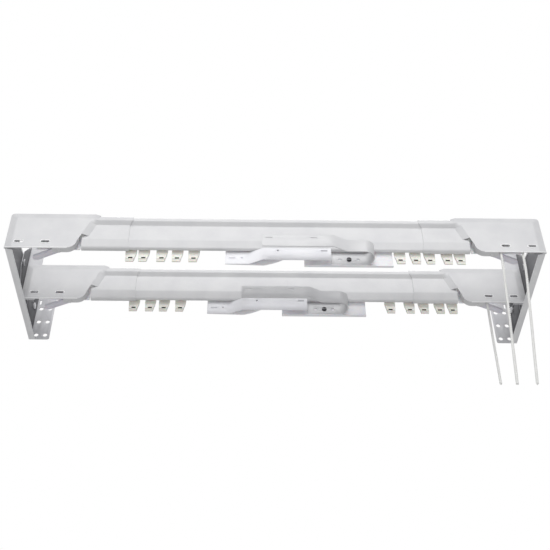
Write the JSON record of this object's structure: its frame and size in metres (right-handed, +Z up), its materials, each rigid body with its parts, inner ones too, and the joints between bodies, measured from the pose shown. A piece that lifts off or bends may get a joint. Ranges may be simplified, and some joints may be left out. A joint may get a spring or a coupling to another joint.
{
  "type": "corded curtain track",
  "caption": "Double traverse curtain rod: two telescoping rails on end arms, with ring carriers, overlapping master carriers and hanging draw cords.",
  "frame": {"origin": "on the wall plane, midway between the two wall brackets, level with their middle screws", "axes": "+X along the rods to the corded end, +Y into the wall, +Z up"},
  "size_m": [0.711, 0.2146, 0.311],
  "materials": {
    "white_enamel": "satin",
    "arm_enamel": "satin",
    "bracket_steel": "satin",
    "white_nylon": "moulded",
    "carrier_nylon": "moulded",
    "lever": "moulded",
    "cord": "twisted"
  },
  "bodies": {
    "wall_bracket_right": {"wall_bracket_right": "bracket_steel"},
    "right_frame": {"end_arm_right": "white_enamel", "mid_bracket_right": "bracket_steel", "front_end_right": "white_enamel", "front_inner_rail": "white_enamel", "front_pulley_housing_right": "white_nylon", "front_cord_1": "cord", "front_cord_2": "cord", "rear_end_right": "white_enamel", "rear_inner_rail": "white_enamel", "rear_pulley_housing_right": "white_nylon", "rear_cord_1": "cord", "rear_cord_2": "cord", "draw_cord_loops": "cord"},
    "left_frame": {"end_arm_left": "white_enamel", "mid_bracket_left": "bracket_steel", "front_end_left": "white_enamel", "front_outer_rail": "white_enamel", "front_pulley_housing_left": "white_nylon", "rear_end_left": "white_enamel", "rear_outer_rail": "white_enamel", "rear_pulley_housing_left": "white_nylon"},
    "wall_bracket_left": {"wall_bracket_left": "bracket_steel"},
    "front_lever_left": {"front_lever_left": "lever"},
    "front_lever_right": {"front_lever_right": "lever"},
    "front_master_right": {"front_master_right": "white_nylon", "front_overlap_arm": "arm_enamel"},
    "front_master_left": {"front_master_left": "white_nylon", "front_underlap_arm": "arm_enamel"},
    "front_pulley_lower": {"front_pulley_lower": "white_nylon"},
    "front_pulley_upper": {"front_pulley_upper": "white_nylon"},
    "front_pulley_idler": {"front_pulley_idler": "white_nylon"},
    "front_carrier_left_1": {"front_carrier_left_1": "carrier_nylon"},
    "front_carrier_left_2": {"front_carrier_left_2": "carrier_nylon"},
    "front_carrier_left_3": {"front_carrier_left_3": "carrier_nylon"},
    "front_carrier_left_4": {"front_carrier_left_4": "carrier_nylon"},
    "front_carrier_left_5": {"front_carrier_left_5": "carrier_nylon"},
    "front_carrier_right_1": {"front_carrier_right_1": "carrier_nylon"},
    "front_carrier_right_2": {"front_carrier_right_2": "carrier_nylon"},
    "front_carrier_right_3": {"front_carrier_right_3": "carrier_nylon"},
    "front_carrier_right_4": {"front_carrier_right_4": "carrier_nylon"},
    "front_carrier_right_5": {"front_carrier_right_5": "carrier_nylon"},
    "rear_lever_left": {"rear_lever_left": "lever"},
    "rear_lever_right": {"rear_lever_right": "lever"},
    "rear_master_right": {"rear_master_right": "white_nylon", "rear_overlap_arm": "arm_enamel"},
    "rear_master_left": {"rear_master_left": "white_nylon", "rear_underlap_arm": "arm_enamel"},
    "rear_pulley_lower": {"rear_pulley_lower": "white_nylon"},
    "rear_pulley_upper": {"rear_pulley_upper": "white_nylon"},
    "rear_pulley_idler": {"rear_pulley_idler": "white_nylon"},
    "rear_carrier_left_1": {"rear_carrier_left_1": "carrier_nylon"},
    "rear_carrier_left_2": {"rear_carrier_left_2": "carrier_nylon"},
    "rear_carrier_left_3": {"rear_carrier_left_3": "carrier_nylon"},
    "rear_carrier_left_4": {"rear_carrier_left_4": "carrier_nylon"},
    "rear_carrier_right_1": {"rear_carrier_right_1": "carrier_nylon"},
    "rear_carrier_right_2": {"rear_carrier_right_2": "carrier_nylon"},
    "rear_carrier_right_3": {"rear_carrier_right_3": "carrier_nylon"},
    "rear_carrier_right_4": {"rear_carrier_right_4": "carrier_nylon"},
    "rear_carrier_right_5": {"rear_carrier_right_5": "carrier_nylon"}
  },
  "joints": [
    {"name": "projection", "type": "slide", "parent": "wall_bracket_right", "child": "right_frame", "axis": [0, -1, 0], "range_m": [0, 0.025]},
    {"name": "width_adjust", "type": "slide", "parent": "right_frame", "child": "left_frame", "axis": [-1, 0, 0], "range_m": [0, 0.4064], "deforming": ["draw_cord_loops"]},
    {"name": "left_projection", "type": "slide", "parent": "left_frame", "child": "wall_bracket_left", "axis": [0, 1, 0], "range_m": [0, 0.025]},
    {"name": "front_lever_left", "type": "hinge", "parent": "left_frame", "child": "front_lever_left", "pos_m": [-0.284, -0.1891, -0.0307], "axis": [0, 0, -1], "range_deg": [0, 60]},
    {"name": "front_lever_right", "type": "hinge", "parent": "right_frame", "child": "front_lever_right", "pos_m": [0.284, -0.1891, -0.0307], "axis": [0, 0, 1], "range_deg": [0, 60]},
    {"name": "front_draw", "type": "slide", "parent": "right_frame", "child": "front_master_right", "axis": [1, 0, 0], "range_m": [-0.01, 0.025]},
    {"name": "front_draw_left", "type": "slide", "parent": "right_frame", "child": "front_master_left", "axis": [-1, 0, 0], "range_m": [-0.01, 0.025]},
    {"name": "front_pulley_lower_spin", "type": "hinge", "parent": "right_frame", "child": "front_pulley_lower", "pos_m": [0.289, -0.1852, -0.0077], "axis": [0, 1, 0], "range_deg": [-205, 82]},
    {"name": "front_pulley_upper_spin", "type": "hinge", "parent": "right_frame", "child": "front_pulley_upper", "pos_m": [0.318, -0.1852, 0.0063], "axis": [0, 1, 0], "range_deg": [-82, 205]},
    {"name": "front_pulley_idler_spin", "type": "hinge", "parent": "left_frame", "child": "front_pulley_idler", "pos_m": [-0.3, -0.1852, 0.0063], "axis": [0, 1, 0], "range_deg": [-82, 205]},
    {"name": "front_carrier_left_1_slide", "type": "slide", "parent": "right_frame", "child": "front_carrier_left_1", "axis": [-1, 0, 0], "range_m": [-0.0051, 0.0127]},
    {"name": "front_carrier_left_2_slide", "type": "slide", "parent": "right_frame", "child": "front_carrier_left_2", "axis": [-1, 0, 0], "range_m": [-0.0053, 0.0131]},
    {"name": "front_carrier_left_3_slide", "type": "slide", "parent": "right_frame", "child": "front_carrier_left_3", "axis": [-1, 0, 0], "range_m": [-0.0061, 0.015]},
    {"name": "front_carrier_left_4_slide", "type": "slide", "parent": "right_frame", "child": "front_carrier_left_4", "axis": [-1, 0, 0], "range_m": [-0.0065, 0.0162]},
    {"name": "front_carrier_left_5_slide", "type": "slide", "parent": "right_frame", "child": "front_carrier_left_5", "axis": [-1, 0, 0], "range_m": [-0.0071, 0.0177]},
    {"name": "front_carrier_right_1_slide", "type": "slide", "parent": "right_frame", "child": "front_carrier_right_1", "axis": [1, 0, 0], "range_m": [-0.0022, 0.0053]},
    {"name": "front_carrier_right_2_slide", "type": "slide", "parent": "right_frame", "child": "front_carrier_right_2", "axis": [1, 0, 0], "range_m": [-0.0029, 0.0072]},
    {"name": "front_carrier_right_3_slide", "type": "slide", "parent": "right_frame", "child": "front_carrier_right_3", "axis": [1, 0, 0], "range_m": [-0.0059, 0.0146]},
    {"name": "front_carrier_right_4_slide", "type": "slide", "parent": "right_frame", "child": "front_carrier_right_4", "axis": [1, 0, 0], "range_m": [-0.0072, 0.018]},
    {"name": "front_carrier_right_5_slide", "type": "slide", "parent": "right_frame", "child": "front_carrier_right_5", "axis": [1, 0, 0], "range_m": [-0.0092, 0.0229]},
    {"name": "rear_lever_left", "type": "hinge", "parent": "left_frame", "child": "rear_lever_left", "pos_m": [-0.284, -0.0861, -0.0292], "axis": [0, 0, -1], "range_deg": [0, 60]},
    {"name": "rear_lever_right", "type": "hinge", "parent": "right_frame", "child": "rear_lever_right", "pos_m": [0.284, -0.0861, -0.0292], "axis": [0, 0, 1], "range_deg": [0, 60]},
    {"name": "rear_draw", "type": "slide", "parent": "right_frame", "child": "rear_master_right", "axis": [1, 0, 0], "range_m": [-0.01, 0.05]},
    {"name": "rear_draw_left", "type": "slide", "parent": "right_frame", "child": "rear_master_left", "axis": [-1, 0, 0], "range_m": [-0.01, 0.05]},
    {"name": "rear_pulley_lower_spin", "type": "hinge", "parent": "right_frame", "child": "rear_pulley_lower", "pos_m": [0.289, -0.0822, -0.0062], "axis": [0, 1, 0], "range_deg": [-410, 82]},
    {"name": "rear_pulley_upper_spin", "type": "hinge", "parent": "right_frame", "child": "rear_pulley_upper", "pos_m": [0.318, -0.0822, 0.0078], "axis": [0, 1, 0], "range_deg": [-82, 410]},
    {"name": "rear_pulley_idler_spin", "type": "hinge", "parent": "left_frame", "child": "rear_pulley_idler", "pos_m": [-0.3, -0.0822, 0.0078], "axis": [0, 1, 0], "range_deg": [-82, 410]},
    {"name": "rear_carrier_left_1_slide", "type": "slide", "parent": "right_frame", "child": "rear_carrier_left_1", "axis": [-1, 0, 0], "range_m": [-0.0053, 0.0259]},
    {"name": "rear_carrier_left_2_slide", "type": "slide", "parent": "right_frame", "child": "rear_carrier_left_2", "axis": [-1, 0, 0], "range_m": [-0.006, 0.0295]},
    {"name": "rear_carrier_left_3_slide", "type": "slide", "parent": "right_frame", "child": "rear_carrier_left_3", "axis": [-1, 0, 0], "range_m": [-0.0064, 0.0316]},
    {"name": "rear_carrier_left_4_slide", "type": "slide", "parent": "right_frame", "child": "rear_carrier_left_4", "axis": [-1, 0, 0], "range_m": [-0.0072, 0.0353]},
    {"name": "rear_carrier_right_1_slide", "type": "slide", "parent": "right_frame", "child": "rear_carrier_right_1", "axis": [1, 0, 0], "range_m": [-0.0002, 0.0004]},
    {"name": "rear_carrier_right_2_slide", "type": "slide", "parent": "right_frame", "child": "rear_carrier_right_2", "axis": [1, 0, 0], "range_m": [-0.0007, 0.0031]},
    {"name": "rear_carrier_right_3_slide", "type": "slide", "parent": "right_frame", "child": "rear_carrier_right_3", "axis": [1, 0, 0], "range_m": [-0.002, 0.0097]},
    {"name": "rear_carrier_right_4_slide", "type": "slide", "parent": "right_frame", "child": "rear_carrier_right_4", "axis": [1, 0, 0], "range_m": [-0.0029, 0.0142]},
    {"name": "rear_carrier_right_5_slide", "type": "slide", "parent": "right_frame", "child": "rear_carrier_right_5", "axis": [1, 0, 0], "range_m": [-0.0052, 0.0254]}
  ],
  "couplings": [
    {"joint": "left_projection", "follows": "projection", "ratio": 1},
    {"joint": "front_draw_left", "follows": "front_draw", "ratio": 1},
    {"joint": "front_pulley_lower_spin", "follows": "front_draw", "rad_per_m": -142.86},
    {"joint": "front_pulley_upper_spin", "follows": "front_draw", "rad_per_m": 142.86},
    {"joint": "front_pulley_idler_spin", "follows": "front_draw", "rad_per_m": 142.86},
    {"joint": "front_carrier_left_1_slide", "follows": "front_draw", "ratio": 0.503},
    {"joint": "front_carrier_left_2_slide", "follows": "front_draw", "ratio": 0.521},
    {"joint": "front_carrier_left_3_slide", "follows": "front_draw", "ratio": 0.597},
    {"joint": "front_carrier_left_4_slide", "follows": "front_draw", "ratio": 0.644},
    {"joint": "front_carrier_left_5_slide", "follows": "front_draw", "ratio": 0.703},
    {"joint": "front_carrier_right_1_slide", "follows": "front_draw", "ratio": 0.207},
    {"joint": "front_carrier_right_2_slide", "follows": "front_draw", "ratio": 0.282},
    {"joint": "front_carrier_right_3_slide", "follows": "front_draw", "ratio": 0.579},
    {"joint": "front_carrier_right_4_slide", "follows": "front_draw", "ratio": 0.714},
    {"joint": "front_carrier_right_5_slide", "follows": "front_draw", "ratio": 0.911},
    {"joint": "rear_draw_left", "follows": "rear_draw", "ratio": 1},
    {"joint": "rear_pulley_lower_spin", "follows": "rear_draw", "rad_per_m": -142.86},
    {"joint": "rear_pulley_upper_spin", "follows": "rear_draw", "rad_per_m": 142.86},
    {"joint": "rear_pulley_idler_spin", "follows": "rear_draw", "rad_per_m": 142.86},
    {"joint": "rear_carrier_left_1_slide", "follows": "rear_draw", "ratio": 0.515},
    {"joint": "rear_carrier_left_2_slide", "follows": "rear_draw", "ratio": 0.589},
    {"joint": "rear_carrier_left_3_slide", "follows": "rear_draw", "ratio": 0.63},
    {"joint": "rear_carrier_left_4_slide", "follows": "rear_draw", "ratio": 0.705},
    {"joint": "rear_carrier_right_1_slide", "follows": "rear_draw", "ratio": 0.006},
    {"joint": "rear_carrier_right_2_slide", "follows": "rear_draw", "ratio": 0.06},
    {"joint": "rear_carrier_right_3_slide", "follows": "rear_draw", "ratio": 0.193},
    {"joint": "rear_carrier_right_4_slide", "follows": "rear_draw", "ratio": 0.282},
    {"joint": "rear_carrier_right_5_slide", "follows": "rear_draw", "ratio": 0.505}
  ]
}
